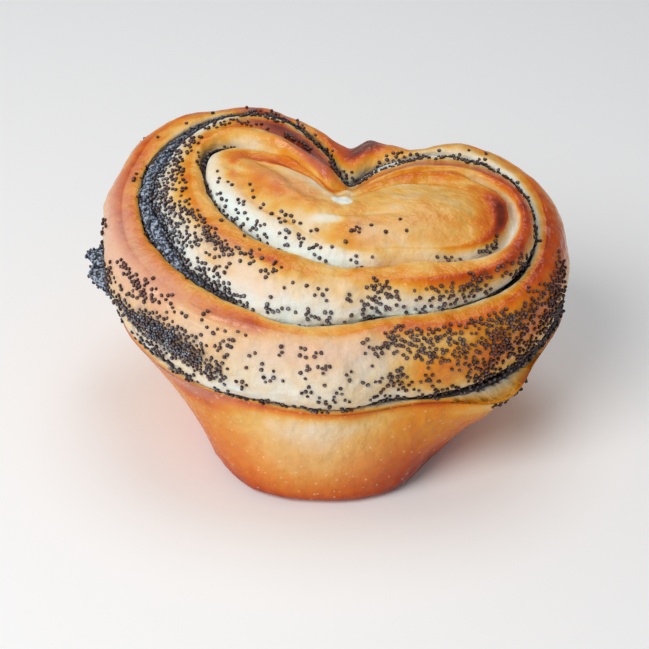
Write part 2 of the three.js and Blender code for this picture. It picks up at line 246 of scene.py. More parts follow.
def slot_cut(name, angle, gap=0.0):
    """The mouth and floor edges of a slot, all moved into it by the gap, and its way out."""
    slot = SLOTS[name]
    is_open = openness(name, angle)
    wider_below, wider_above, _ = welling(name, angle)
    slope = math.radians(slot["slope"])
    out = np.array([math.cos(slope), math.sin(slope)])
    across = np.array([-out[1], out[0]])
    crease = fold_point(name, angle)

    def at(side, deep):
        return crease + np.multiply.outer(side, across) - np.multiply.outer(deep, out)

    bared = is_open * around(BARED[name])(angle)
    below = np.maximum(SHUT, bared * slot["below"]) + wider_below
    turn = np.radians(angle)
    ragged = 1 + 0.35 * np.sin(11 * turn) + 0.25 * np.sin(29 * turn + 1)
    above = np.maximum(SHUT, bared * slot["above"]) + SMEARED[name] * ragged * wider_above
    half_floor = np.maximum(SHUT, is_open * SLOT_FLOOR / 2)
    depth = np.maximum(2 * SHUT, is_open * slot["depth"])
    none = np.zeros_like(depth)
    return dict(
        out=out,
        lower=at(gap - below, none),
        lower_floor=at(gap - half_floor, depth - gap),
        upper_floor=at(half_floor - gap, depth - gap),
        upper=at(above - gap, none),
    )


def bezier(start, start_pull, end_pull, end, shares):
    t = shares[None, :, None]
    start, start_pull, end_pull, end = (p[:, None, :] for p in (start, start_pull, end_pull, end))
    rest = 1 - t
    return rest**3 * start + 3 * rest * rest * t * start_pull + 3 * rest * t * t * end_pull + t**3 * end


def arc_shares(arc):
    """The shares of an arc that its rows lie at. One that goes on from another leaves out its start."""
    first = 1 / ROWS[arc] if arc in ("outer_back", "middle_back", "top") else 0
    return np.linspace(first, 1, ROWS[arc])


def length(vectors):
    return np.linalg.norm(vectors, axis=-1, keepdims=True)


def crest_tilt(angle):
    tilt = np.stack([-np.ones_like(angle), CREST_TILT * np.abs(np.cos(np.radians(angle)))], -1)
    return tilt / length(tilt)


def skin_arc(angle, lip, shares):
    foot = fold_point("foot", angle)[:, 0]
    flare = lip[:, 0] - foot
    start = np.stack([foot, np.full_like(foot, FOOT_ROUNDING)], -1)
    foot_pull = np.stack([foot + 0.1 * flare + 2, 0.4 * lip[:, 1]], -1)
    lip_pull = np.stack([lip[:, 0] - 0.3 * flare, 0.72 * lip[:, 1]], -1)
    return bezier(start, foot_pull, lip_pull, lip, shares)


def sole_arc(angle, shares):
    foot = fold_point("foot", angle)[:, 0]
    reach = np.multiply.outer(foot - 1.4 * FOOT_ROUNDING, shares)
    return np.stack([reach, np.zeros_like(reach)], -1)


def face_arc(start, crest, swell, angle, shares):
    chord = crest - start
    outward = np.stack([chord[:, 1], -chord[:, 0]], -1)
    start_pull = start + 0.3 * chord + np.reshape(swell, (-1, 1)) * outward
    crest_pull = crest - 0.32 * length(chord) * crest_tilt(angle)
    return bezier(start, start_pull, crest_pull, crest, shares)


def back_arc(crest, end, angle, shares):
    drop = length(crest - end)
    over_pull = crest + 0.42 * drop * crest_tilt(angle)
    end_pull = end + drop * np.array([0.1, 0.42])
    return bezier(crest, over_pull, end_pull, end, shares)


def top_arc(angle, shares):
    """The top, from the last crest in to the middle."""
    crest = fold_point("core", angle)
    out = (1 - shares)[None, :]
    reach = crest[:, :1] * out
    x = HUB[0] + reach * np.sin(np.radians(angle))[:, None]
    y = HUB[1] + reach * np.cos(np.radians(angle))[:, None]
    height = CENTRE_HEIGHT + (crest[:, 1:] - CENTRE_HEIGHT) * out**2
    for mound in TOP_MOUNDS:
        turn = math.radians(mound["turn"])
        dx = x - mound["x"]
        dy = y - mound["y"]
        along = dx * math.cos(turn) + dy * math.sin(turn)
        aside = dy * math.cos(turn) - dx * math.sin(turn)
        fall = np.exp(-((along / mound["long"]) ** 2) - (aside / mound["wide"]) ** 2)
        height = height + mound["high"] * (1 - out**4) * fall
    return np.stack([reach, height], -1)


def slot_walls(cut):
    """The floor of a slot: its lower edge, its middle and its upper edge."""
    middle = (cut["lower_floor"] + cut["upper_floor"]) / 2
    return np.stack([cut["lower_floor"], middle, cut["upper_floor"]], 1)


def dough_arcs(angle):
    """The outline of the dough over each angle, arc by arc from the middle of the sole to the top."""
    seam = slot_cut("seam", angle)
    outer = slot_cut("outer_crease", angle)
    inner = slot_cut("inner_crease", angle)
    rim = fold_point("rim", angle)
    ridge = fold_point("ridge", angle)
    core = fold_point("core", angle)
    roll = hump(angle, LIP_ROLL)
    lip = seam["lower"] + np.stack([LIP_WIDTH + LIP_ROLL["out"] * roll, -LIP_ROLL["lower"] * roll], -1)
    outer_swell = SWELL["outer"] - FLAT_SIDE["less"] * hump(angle, FLAT_SIDE)
    middle_swell = SWELL["middle"] - FLAT_BEHIND["less"] * hump(angle, FLAT_BEHIND)
    core_swell = np.full_like(angle, SWELL["core"])
    return dict(
        sole=sole_arc(angle, arc_shares("sole")),
        skin=skin_arc(angle, lip, arc_shares("skin")),
        seam=np.concatenate([seam["lower"][:, None], slot_walls(seam)], 1),
        outer=face_arc(seam["upper"], rim, outer_swell, angle, arc_shares("outer")),
        outer_back=back_arc(rim, outer["lower"], angle, arc_shares("outer_back")),
        outer_slot=slot_walls(outer),
        middle=face_arc(outer["upper"], ridge, middle_swell, angle, arc_shares("middle")),
        middle_back=back_arc(ridge, inner["lower"], angle, arc_shares("middle_back")),
        inner_slot=slot_walls(inner),
        core=face_arc(inner["upper"], core, core_swell, angle, arc_shares("core")),
        top=top_arc(angle, arc_shares("top")),
    )


def placed(outline, angle):
    """Points over each angle, from reach and height to x, y and z."""
    turn = np.radians(angle)[:, None]
    x = HUB[0] + outline[..., 0] * np.sin(turn)
    y = HUB[1] + outline[..., 0] * np.cos(turn)
    return np.stack([x, y, outline[..., 1]], -1)


def uneven(points, wavelength, seed, waves=28):
    """A smooth uneven field over points, mostly within -1 to 1, with lumps of the wavelength."""
    draw = np.random.default_rng(seed)
    ways = draw.normal(size=(waves, 3))
    ways /= length(ways)
    turns = 2 * math.pi / wavelength * draw.uniform(0.7, 1.4, waves)
    starts = draw.uniform(0, 2 * math.pi, waves)
    total = np.zeros(points.shape[:-1])
    for way, turn, start in zip(ways, turns, starts):
        total += np.cos(points @ (way * turn) + start)
    return total / math.sqrt(waves)


def unit(vectors):
    """Vectors of length 1, with no fault where one has no length."""
    return vectors / np.maximum(length(vectors), 1e-9)


def outward_normals(grid):
    """Normals of a grid that closes round its columns. Those of the top point up, as all point out."""
    along = np.roll(grid, -1, 0) - np.roll(grid, 1, 0)
    up = np.gradient(grid, axis=1)
    normals = unit(np.cross(up, along))
    return -normals if normals[0, -2, 2] < 0 else normals


def grown_together(angle):
    """How far the inner crease has grown shut, from 0 to 1."""
    return np.maximum(1 - openness("inner_crease", angle), hump(angle, HEALED))


def heal(angle, arc, grid):
    """Draws the dough smooth over the inner crease where it has grown together."""
    first = int(np.argmax(arc == "inner_slot"))
    last = int(np.argmax(arc == "core"))
    share = HEALED["share"] * grown_together(angle)[:, None]
    for _ in range(HEALED["passes"]):
        for row in range(first - HEALED["rows"], last + HEALED["rows"] + 1):
            between = 0.5 * (grid[:, row - 1] + grid[:, row + 1])
            grid[:, row] += share * (between - grid[:, row])
    return grid


def dough_rows():
    """Each column's angle, and the arc and share of each row, with the dough's points over them."""
    angle = np.linspace(-180, 180, COLUMNS, endpoint=False)
    arcs = dough_arcs(angle)
    arc = np.concatenate([[name] * points.shape[1] for name, points in arcs.items()])
    share = np.concatenate([arc_shares(name) for name in arcs])
    grid = placed(np.concatenate(list(arcs.values()), axis=1), angle)
    return angle, arc, share, heal(angle, arc, grid)


# How baked the dough is along each arc of its outline, from raw at 0 to dark brown at 1.
BAKED = {
    "sole": [(0, 0.72), (1, 0.78)],
    "skin": [(0, 0.74), (0.1, 0.61), (0.3, 0.55), (0.5, 0.52), (0.84, 0.47), (0.91, 0.52),
             (0.96, 0.68), (1, 0.8)],
    "seam": [(0, 0.3), (0.3, 0.05), (1, 0.05)],
    "outer": [(0, 0.1), (0.25, 0.15), (0.55, 0.21), (0.8, 0.31), (0.93, 0.44), (1, 0.52)],
    "outer_back": [(0, 0.52), (0.4, 0.44), (0.8, 0.22), (1, 0.1)],
    "outer_slot": [(0, 0.1), (1, 0.1)],
    "middle": [(0, 0.0), (0.25, 0.03), (0.45, 0.17), (0.7, 0.34), (0.9, 0.48), (1, 0.52)],
    "middle_back": [(0, 0.5), (0.6, 0.42), (1, 0.3)],
    "inner_slot": [(0, 0.1), (1, 0.1)],
    "core": [(0, 0.0), (0.35, 0.0), (0.7, 0.15), (1, 0.35)],
    "top": [(0, 0.36), (0.15, 0.41), (0.4, 0.42), (1, 0.44)],
}

# Where the bake differs, and where a paler spot is a painted highlight: the arc, the spot's middle in
# degrees and share, how far it spreads both ways, and how much more it is baked, rosy, and stained by
# the seeds.
SPOTS = [
    ("skin", -110, 28, 0.98, 0.1, 0.1, 0.6, 0),
    # Painted highlight: the skin made paler just below the lip at the front.
    ("skin", -174, 26, 0.82, 0.18, -0.18, 0, 0),
    ("skin", -166, 22, 0.5, 0.3, -0.08, 0, 0),
    ("skin", 117, 11, 0.97, 0.12, -0.26, 0, 0),
    ("skin", -130, 28, 0.5, 0.6, 0.08, 0, 0),
    ("skin", -128, 14, 0.86, 0.1, 0.2, 0, 0),
    ("skin", 140, 28, 0.1, 0.35, 0.26, 0, 0),
    ("skin", -150, 28, 0.05, 0.3, 0.11, 0, 0),
    ("skin", -172, 34, 0.55, 0.35, -0.06, 0.25, 0),
    ("skin", 136, 24, 0.7, 0.4, 0.07, 0, 0),
    ("outer", 86, 20, 0.7, 0.5, 0.4, 0, 0),
    ("outer", 108, 15, 0.9, 0.28, 0.06, 0, 0),
    ("outer", 108, 14, 0.25, 0.35, 0.22, 0, 0),
    ("outer", 116, 18, 0.55, 0.3, 0.1, 0, 0),
    ("outer", 150, 22, 0.3, 0.3, 0.08, 0, 0),
    ("outer", 134, 22, 0.98, 0.2, 0.24, 0, 0),
    ("outer", 132, 20, 0.4, 0.3, 0.34, 0, 0),
    ("seam", 117, 16, 0.1, 0.4, -0.12, 0, 0),
    ("outer", 178, 26, 0.8, 0.25, -0.05, 0.5, 0),
    ("outer", -135, 15, 0.98, 0.1, 0.16, 0, 0),
    ("outer", -158, 26, 0.75, 0.3, -0.02, 0.35, 0),
    ("middle", -132, 18, 0.5, 0.25, 0.02, 0.35, 0),
    ("middle", -110, 12, 0.75, 0.3, -0.06, 0.35, 0),
    ("middle", -168, 20, 0.1, 0.2, 0.06, 0, 0),
    ("outer", -95, 38, 0.8, 0.3, 0.22, 0.9, 0),
    ("outer", -72, 34, 1.0, 0.2, 0.14, -0.3, 0),
    ("outer", -121, 13, 0.44, 0.16, 0, 0, 1.7),
    ("outer", -110, 12, 0.2, 0.14, 0, 0, 0.3),
    ("outer", 60, 30, 0.9, 0.4, 0.06, 0, 0),
    ("outer", 7, 6, 0.95, 0.3, 0.5, 0.1, 0),
    ("outer", 0, 60, 0.4, 0.5, 0.34, 0, 0),
    ("outer_back", -132, 20, 0.1, 0.3, 0.2, 0, 0),
    ("outer_back", -72, 34, 0.0, 0.3, 0.12, 0, 0),
    ("outer_back", -98, 30, 0.1, 0.3, 0.0, 0.5, 0),
    ("outer_back", -88, 38, 0.6, 0.4, 0.2, 0, 0),
    ("outer_back", 7, 6, 0.1, 0.4, 0.45, 0.1, 0),
    ("outer_back", -2, 14, 0.3, 0.3, 0.2, 0, 0),
    ("outer_back", -2, 10, 1.0, 0.22, -0.2, 0, 0.3),
    ("outer_back", -24, 9, 0.6, 0.45, 0.3, 0, 0.9),
    ("outer_back", 5, 22, 0.9, 0.5, 0.2, 0, 0),
    ("outer_back", 95, 25, 0.1, 0.3, 0.14, 0, 0),
    ("outer_back", 74, 30, 0.7, 0.35, -0.3, 0, 0),
    ("outer_back", 135, 20, 0.2, 0.4, 0.15, 0, 0),
    ("middle", -16, 12, 0.8, 0.6, 0.42, 0, 0),
    ("middle", -26, 9, 0.45, 0.3, 0.5, 0, 0),
    ("middle", 3, 8, 0.3, 0.4, -0.5, 0, 0),
    ("middle", -34, 10, 0.8, 0.5, 0.28, 0, 0),
    ("middle", -88, 26, 0.92, 0.22, 0.08, 0, 0),
    ("middle", -78, 22, 0.1, 0.42, 0, 0, 0.75),
    ("middle", -104, 9, 0.7, 0.2, 0, 0, 0.4),
    ("middle", -128, 14, 0.98, 0.12, 0.25, 0, 0),
    ("middle", 180, 26, 0.95, 0.45, -0.14, 0.1, 0),
    ("middle", 125, 28, 0.9, 0.35, 0.16, 0, 0),
    ("middle", 75, 32, 0.95, 0.5, 0.28, 0, 0),
    ("middle", 108, 12, 0.8, 0.25, 0.2, 0, 0),
    ("middle", 25, 30, 0.7, 0.5, 0.2, 0, 0),
    ("middle_back", -19, 10, 0.3, 0.5, 0.3, 0, 0),
    ("middle_back", -34, 10, 0.8, 0.3, -0.14, 0, 0),
    ("core", -17, 10, 0.2, 0.5, 0.3, 0, 0),
    ("middle_back", -128, 14, 0.1, 0.4, 0.2, 0, 0),
    ("middle_back", 85, 30, 0.1, 0.3, 0.2, 0, 0),
    ("middle_back", 88, 24, 0.78, 0.36, -0.36, 0.25, 0),
    ("core", 86, 26, 0.0, 0.16, -0.02, 0.1, 0),
    ("core", 80, 14, 0.56, 0.42, 0.72, 0, 0),
    ("core", 84, 10, 0.6, 0.3, 0.2, 0, 0),
    ("core", 98, 9, 0.85, 0.3, 0.35, 0, 0),
    ("core", 60, 12, 0.15, 0.3, 0.2, 0, 0),
    ("core", 82, 12, 0.85, 0.25, 0.06, 0, 0),
    ("core", 40, 28, 0.6, 0.7, 0.3, 0, 0),
    ("core", -44, 20, 0.7, 0.6, 0.5, 0, 0),
    ("core", -82, 18, 0.98, 0.16, 0.12, 0.4, 0),
    ("core", 175, 35, 0.9, 0.35, -0.1, 0, 0),
    ("core", 126, 26, 0.3, 0.6, 0.32, 0, 0),
    ("top", 84, 14, 0.0, 0.12, 0.34, 0, 0),
    ("top", -62, 20, 0.2, 0.35, 0.09, 0, 0),
    ("top", -34, 12, 0.25, 0.3, -0.14, 0.1, 0),
    ("top", -14, 12, 0.02, 0.16, 0.16, 0.1, 0),
    ("top", -112, 28, 0.35, 0.4, -0.2, 0, 0),
    ("top", 95, 30, 0.6, 0.3, 0.06, 0.1, 0),
    ("top", -50, 20, 0.5, 0.35, 0, 0.25, 0),
    ("top", -72, 14, 0.1, 0.2, 0.05, 0, 0),
    ("middle_back", 73, 20, 0.25, 0.3, 0.14, 0, 0),
    ("middle_back", -25, 10, 0.74, 0.4, 0.2, 0.2, 0),
    ("middle", 112, 12, 0.5, 0.3, 0.16, 0, 0),
    ("top", 135, 26, 0.4, 0.4, -0.06, 0.4, 0),
]

# Pale patches on the top, partly flakes and streaks of pale dough and partly painted highlights on
# the glaze: their middle, turn, half their length and width, and how pale.
FLAKES_AND_HIGHLIGHTS = [
    (2.3, -5, -6, 2.3, 1.7, 0.95),
    (-0.5, -11.5, 0, 3, 1.0, 0.6),
    (10, -8.6, 4, 6, 0.6, 0.12),
    (26, -5, 10, 4, 2, 0.2),
    (14, -7, 0, 3, 1.2, 0.25),
    (-21, 4.5, -35, 3, 0.8, 0.3),
]

# The crease that each arc runs into.
MOUTHS = {
    "skin": "seam",
    "outer": "seam",
    "outer_back": "outer_crease",
    "middle": "outer_crease",
    "middle_back": "inner_crease",
    "core": "inner_crease",
}
LEAVES_MOUTH = ["outer", "middle", "core"]

# The crust's lumps: how high and how long those of each size are, in mm, and their seed. Its patches
# of bake, and those of the stain: how strong, how long, and their seed.
LUMPS = [(0.3, 26, 1), (0.17, 9, 2), (0.05, 2.6, 3)]
BAKE_PATCHES = [(0.05, 14, 5), (0.035, 4, 6)]
STAIN_PATCHES = [(0.6, 3.5, 7)]

# The fine strands of the cut faces, which run round the bun, and the small folds along the rim at the
# left, which lie so far apart.
STRANDS = dict(ring=14, high=0.06, long=2.4)
CREST_FOLDS = dict(angle=-134, spread=15, high=0.24, apart=1.5, wide=3)

# How patchy the skin is beside the cut faces, how blistered each arc is, and the bake at which the
# egg wash starts to shine and shines fully.
SKIN_PATCHY = 0.45
BLISTERED = dict(skin=1, outer=0.35, outer_back=0.35)
GLAZED = (0.3, 0.5)

# Shallow folds drawn out over the top: from, to, width and depth.
TOP_FOLDS = [
    ((-20, 11), (-2, -6), 1.6, 0.7),
    ((-13, 15), (2, -1), 1.4, 0.6),
    ((-24, 6), (-6, -8), 0.9, 0.25),
    ((-3, -9), (16, -9.5), 0.8, 0.35),
    ((-2, -12), (14, -12.5), 1.0, 0.25),
    ((8, -1), (24, 0), 1.5, 0.3),
]


def arc_length(grid, arc):
    """How far each row lies along its arc, and how long each arc is, in mm over each column."""
    steps = np.linalg.norm(np.diff(grid, axis=1, prepend=grid[:, :1]), axis=-1)
    along = np.zeros_like(steps)
    whole = np.zeros_like(steps)
    for name in BAKED:
        rows = np.flatnonzero(arc == name)
        run = np.cumsum(steps[:, rows], axis=1) - steps[:, rows[:1]]
        along[:, rows] = run
        whole[:, rows] = run[:, -1:]
    return along, whole


def fold_depth(x, y, fold):
    """How deep a shallow fold lies under each plan point."""
    start, end, wide, deep = fold
    way = np.subtract(end, start)
    span = math.hypot(*way)
    along = ((x - start[0]) * way[0] + (y - start[1]) * way[1]) / span
    aside = ((x - start[0]) * way[1] - (y - start[1]) * way[0]) / span
    wander = 0.8 * np.sin(along / 3.1 + start[0])
    ends = smooth(along, -1, 4) * (1 - smooth(along, span - 4, span + 1))
    return deep * ends * np.exp(-(((aside + wander) / wide) ** 2))


def mouth_pull(angle, name):
    """How far an arc is drawn in at the mouth of its crease, in mm over each column."""
    slot = MOUTHS[name]
    seen = 1 - grown_together(angle) if slot == "inner_crease" else 1
    return seen * (MOUTH_PULL["least"] + MOUTH_PULL["bare"] * around(BARED[slot])(angle))


def patches(sizes, points):
    """Uneven fields of several sizes, added up."""
    return sum(strong * uneven(points, long, seed) for strong, long, seed in sizes)


def crest_folds(angle, arc, grid, along, left):
    """The small folds along the rim, which wander a little."""
    apart = CREST_FOLDS["apart"]
    wide = CREST_FOLDS["wide"]
    high = CREST_FOLDS["high"] * hump(angle, CREST_FOLDS)[:, None]
    before = np.exp(-(((left - apart) / wide) ** 2)) * (arc == "outer")
    behind = np.exp(-((along / wide) ** 2)) * (arc == "outer_back")
    depth = np.where(arc == "outer", left, -along)
    return high * (before + behind) * np.sin(2 * math.pi * depth / apart + 2 * uneven(grid, 16, seed=8))


def relief(angle, arc, grid):
    """How far the baked surface stands in or out of the plain swells, in mm."""
    along, whole = arc_length(grid, arc)
    left = whole - along
    turn = np.radians(angle)[:, None]
    ring = np.stack([STRANDS["ring"] * np.cos(turn) + 0 * along,
                     STRANDS["ring"] * np.sin(turn) + 0 * along, along], -1)
    strands = STRANDS["high"] * uneven(ring, STRANDS["long"], seed=4)
    height = patches(LUMPS, grid) + np.where(np.isin(arc, LEAVES_MOUTH), strands, 0)
    for name in MOUTHS:
        reach = along if name in LEAVES_MOUTH else left
        pull = mouth_pull(angle, name)[:, None]
        height -= pull * np.exp(-((reach / MOUTH_ROUNDING) ** 2)) * (arc == name)
    near_top = np.isin(arc, ["top", "core", "middle_back"])
    for fold in TOP_FOLDS:
        height -= fold_depth(grid[..., 0], grid[..., 1], fold) * near_top
    height += crest_folds(angle, arc, grid, along, left)
    height *= ~np.isin(arc, ["sole", "seam", "outer_slot", "inner_slot"])
    floor = np.clip(grid[..., 2] / 3, 0, 1)
    return height * floor


def baked_along(arc, share):
    """How baked the dough is at each row of its outline."""
    baked = np.zeros(len(arc))
    for name, stops in BAKED.items():
        rows = arc == name
        baked[rows] = np.interp(share[rows], *zip(*stops))
    return baked


def flaked_and_highlighted(arc, points):
    """How much of the bake is left where pale patches lie on the top: flakes and streaks, and painted
    highlights on the glaze.
    """
    x, y = points[..., 0], points[..., 1]
    left = np.ones_like(x)
    for middle_x, middle_y, turn, long, wide, paleness in FLAKES_AND_HIGHLIGHTS:
        way = math.radians(turn)
        along = (x - middle_x) * math.cos(way) + (y - middle_y) * math.sin(way)
        aside = (y - middle_y) * math.cos(way) - (x - middle_x) * math.sin(way)
        edge = 1.1 - paleness
        pale = smooth(1 + edge - np.hypot(along / long, aside / wide), 0, 2 * edge)
        left *= 1 - paleness * pale * np.isin(arc, ["top", "core", "middle_back"])
    return left


def tones(angle, arc, share, points):
    """How baked (with painted highlights laid in as paler patches), rosy, stained, blistered and glazed the
    dough is at each of its points.
    """
    bake_and_highlight = np.repeat(baked_along(arc, share)[None], len(angle), 0)
    rose = np.zeros_like(bake_and_highlight)
    stain = np.zeros_like(bake_and_highlight)
    for name, middle, spread, middle_share, extent, more_bake, more_rose, more_stain in SPOTS:
        rows = np.exp(-(((share - middle_share) / extent) ** 2)) * (arc == name)
        near = rows[None] * hump(angle, dict(angle=middle, spread=spread))[:, None]
        bake_and_highlight += more_bake * near
        rose += more_rose * near
        stain += more_stain * near
    healed = 1 - openness("inner_crease", angle)[:, None]
    bake_and_highlight += 0.4 * healed * (1 - smooth(share, 0.2, 0.9)) * (arc == "core")
    bake_and_highlight += 0.2 * healed * smooth(share, 0.3, 0.9) * (arc == "middle_back")
    bake_and_highlight += 0.4 * healed * (arc == "inner_slot")
    patchy = patches(BAKE_PATCHES, points) * np.where(arc == "skin", SKIN_PATCHY, 1)
    bake_and_highlight += patchy * (1 - 0.6 * (bake_and_highlight < 0.1))
    # The pale patches on the top: flakes and streaks of pale dough, and painted highlights on the glaze.
    bake_and_highlight *= flaked_and_highlighted(arc, points)
    stain *= np.clip(0.75 + patches(STAIN_PATCHES, points), 0, 1)
    blistered = np.array([BLISTERED.get(name, 0) for name in arc])
    blister = np.repeat(blistered[None], len(angle), 0)
    glaze = smooth(bake_and_highlight, *GLAZED) * ~np.isin(arc, ["sole", "skin", "seam", "outer_slot", "inner_slot"])
    return dict(bake_and_highlight=np.clip(bake_and_highlight, 0, 1), rose=np.clip(rose, 0, 1), stain=np.clip(stain, 0, 1),
                blister=blister, glaze=glaze)


# Loose seeds: the arc they lie on, from and to in degrees and in shares, how many, and how many
# lie together.
SEED_PATCHES = [
    ("outer", 180, 200, 0.5, 0.8, 28, 3),
    ("outer", 180, 200, 0.2, 0.5, 12, 1.5),
    ("outer", 200, 220, 0.2, 0.5, 14, 2),
    ("outer", 200, 218, 0.5, 0.8, 8, 1.5),
    ("outer", 214, 236, 0.6, 0.92, 36, 2.5),
    ("outer", 224, 240, 0.22, 0.52, 56, 3),
    ("outer", 236, 262, 0.1, 0.45, 60, 2.5),
    ("outer", 236, 264, 0.66, 0.9, 56, 3),
    ("outer", 236, 262, 0.45, 0.68, 12, 1.5),
    ("outer", 262, 284, 0.25, 0.75, 70, 3),
    ("skin", 104, 121, 0.86, 0.93, 40, 3),
    ("outer", 84, 100, 0.1, 0.75, 200, 4),
    ("outer", 100, 120, 0.42, 0.84, 230, 6),
    ("outer", 98, 126, 0.0, 0.35, 150, 4),
    ("outer", 114, 134, 0.54, 0.92, 230, 9),
    ("outer", 132, 162, 0.58, 0.9, 210, 9),
    ("outer", 112, 130, 0.2, 0.48, 60, 2),
    ("outer", 126, 162, 0.05, 0.45, 76, 3),
    ("outer", 160, 180, 0.55, 0.95, 16, 2.5),
    ("outer", 160, 182, 0.1, 0.5, 22, 2),
    ("outer", 122, 236, 0.0, 0.05, 110, 2.5),
    ("outer_back", 20, 100, 0.1, 0.6, 12, 1.5),
    ("outer_back", 285, 340, 0.1, 0.5, 7, 1.2),
    ("outer_back", -12, 3, 0.7, 1.0, 50, 2.5),
    ("outer_back", -30, -14, 0.3, 1.0, 90, 3),
    ("outer_back", 10, 30, 0.6, 1.0, 20, 2),
    ("outer", -60, 70, 0.2, 0.9, 60, 2.5),
    ("outer_back", 30, 96, 0.85, 1.0, 70, 3),
    ("outer_back", 240, 300, 0.85, 1.0, 60, 3),
    ("middle", 180, 200, 0.15, 0.42, 13, 2),
    ("middle", 180, 200, 0.45, 0.8, 8, 1.5),
    ("middle", 202, 214, 0.55, 0.85, 7, 2.5),
    ("middle", 205, 222, 0.1, 0.35, 8, 1.5),
    ("middle", 220, 236, 0.62, 0.92, 16, 2.5),
    ("middle", 214, 240, 0.0, 0.22, 50, 3),
    ("middle", 240, 262, 0.45, 0.95, 54, 3),
    ("middle", 238, 258, 0.0, 0.35, 60, 2.5),
    ("middle", 258, 292, 0.2, 0.92, 160, 2.5),
    ("middle", 288, 304, 0.3, 0.9, 40, 2.5),
    ("middle", 300, 342, 0.5, 0.95, 60, 4),
    ("middle", 298, 354, 0.0, 0.3, 190, 3),
    ("middle", -10, 14, 0.0, 0.6, 150, 3),
    ("middle", 14, 72, 0.2, 0.46, 250, 3),
    ("middle", 66, 84, 0.25, 0.65, 60, 3),
    ("middle", 84, 100, 0.05, 0.5, 40, 3),
    ("middle", 98, 126, 0.25, 0.9, 66, 4),
    ("middle", 122, 160, 0.3, 0.85, 130, 6),
    ("middle", 100, 168, 0.0, 0.25, 56, 2.5),
    ("middle", 158, 180, 0.1, 0.8, 26, 2),
    ("middle_back", 236, 300, 0.1, 0.9, 20, 1.5),
    ("core", 194, 222, 0.3, 0.95, 12, 1.5),
    ("core", 226, 250, 0.2, 1.0, 16, 1.8),
    ("core", 250, 300, 0.0, 0.3, 30, 2),
    ("core", 252, 296, 0.3, 1.0, 28, 2),
    ("core", 94, 112, 0.15, 0.65, 50, 4),
    ("core", 140, 180, 0.2, 1.0, 8, 1.2),
    ("top", 230, 300, 0.0, 0.14, 16, 1.5),
    ("top", 90, 180, 0.05, 0.6, 9, 1.2),
]

# Heaps of seeds: the arc, the heap's middle and spread in degrees, the same in shares, how many, and
# how high they lie on one another, in mm.
SEED_HEAPS = [
    ("outer", -105, 3, 0.43, 0.05, 60, 0.4),
    ("outer", -111, 3.2, 0.44, 0.07, 200, 0.8),
    ("outer", -117, 3.5, 0.45, 0.09, 560, 1.2),
    ("outer", -124, 3.2, 0.46, 0.1, 560, 1.3),
    ("outer", -130, 3, 0.42, 0.1, 240, 0.8),
    ("outer", -137, 3, 0.34, 0.08, 70, 0.4),
    ("outer", -120, 8, 0.08, 0.05, 50, 0.2),
    ("outer", -104, 2.5, 0.8, 0.05, 26, 0.3),
    ("outer", -111, 3, 0.74, 0.05, 36, 0.4),
    ("middle", -58, 8, 0.06, 0.1, 300, 0.6),
    ("middle", -76, 10, 0.12, 0.16, 540, 0.9),
    ("middle", -93, 9, 0.07, 0.12, 260, 0.8),
    ("middle", -108, 7, 0.04, 0.07, 90, 0.5),
    ("middle", -122, 6, 0.06, 0.05, 90, 0.4),
    ("middle", -84, 12, 0.36, 0.12, 200, 0.3),
    ("middle", -104, 5, 0.76, 0.08, 120, 0.4),
    ("middle", -112, 3, 0.8, 0.07, 30, 0.3),
    ("middle", -24, 4, 0.72, 0.09, 24, 0.2),
    ("middle", 118, 4, 0.66, 0.07, 34, 0.3),
    ("outer", 96, 5, 0.5, 0.12, 70, 0.4),
    ("outer", 100, 8, 0.04, 0.05, 60, 0.5),
]


def sample(values, column, row):
    """Values of a grid between its points, at fractional columns and rows."""
    left = np.floor(column).astype(int)
    low = np.clip(np.floor(row).astype(int), 0, values.shape[1] - 2)
    across = (column - left)[:, None]
    up = (row - low)[:, None]
    left = left % values.shape[0]
    right = (left + 1) % values.shape[0]
    lower = values[left, low] * (1 - across) + values[right, low] * across
    upper = values[left, low + 1] * (1 - across) + values[right, low + 1] * across
    return lower * (1 - up) + upper * up


def spaced(points, least):
    """Which of the points stay, when each that comes too near an earlier one is left out."""
    least = np.broadcast_to(least, len(points))
    widest = least.max()
    steps = list(itertools.product((-1, 0, 1), repeat=3))
    cells = {}
    kept = []
    for index, point in enumerate(points):
        cell = tuple(np.floor(point / widest).astype(int))
        around_it = [tuple(np.add(cell, step)) for step in steps]
        others = [other for place in around_it for other in cells.get(place, ())]
        if all(np.sum((points[other] - point) ** 2) >= least[index] * least[other] for other in others):
            cells.setdefault(cell, []).append(index)
            kept.append(index)
    return np.array(kept)


def clear_selection():
    if bpy.context.object and bpy.context.object.mode != "OBJECT":
        bpy.ops.object.mode_set(mode="OBJECT")
    bpy.ops.object.select_all(action="DESELECT")


def add_grid(name, grid):
    """A sheet with one point for each of the grid's, placed point by point."""
    clear_selection()
    columns, rows = grid.shape[:2]
    bpy.ops.mesh.primitive_grid_add(x_subdivisions=rows - 1, y_subdivisions=columns - 1, size=1)
    piece = bpy.context.object
    piece.name = name
    piece.data.name = name
    piece.data.vertices.foreach_set("co", (grid * MM).reshape(-1))
    return piece


def set_values(mesh, name, values):
    """Gives each point of a mesh its own value, for the material to read."""
    layer = mesh.attributes.new(name, "FLOAT", "POINT")
    layer.data.foreach_set("value", np.ravel(values).astype(np.float32))


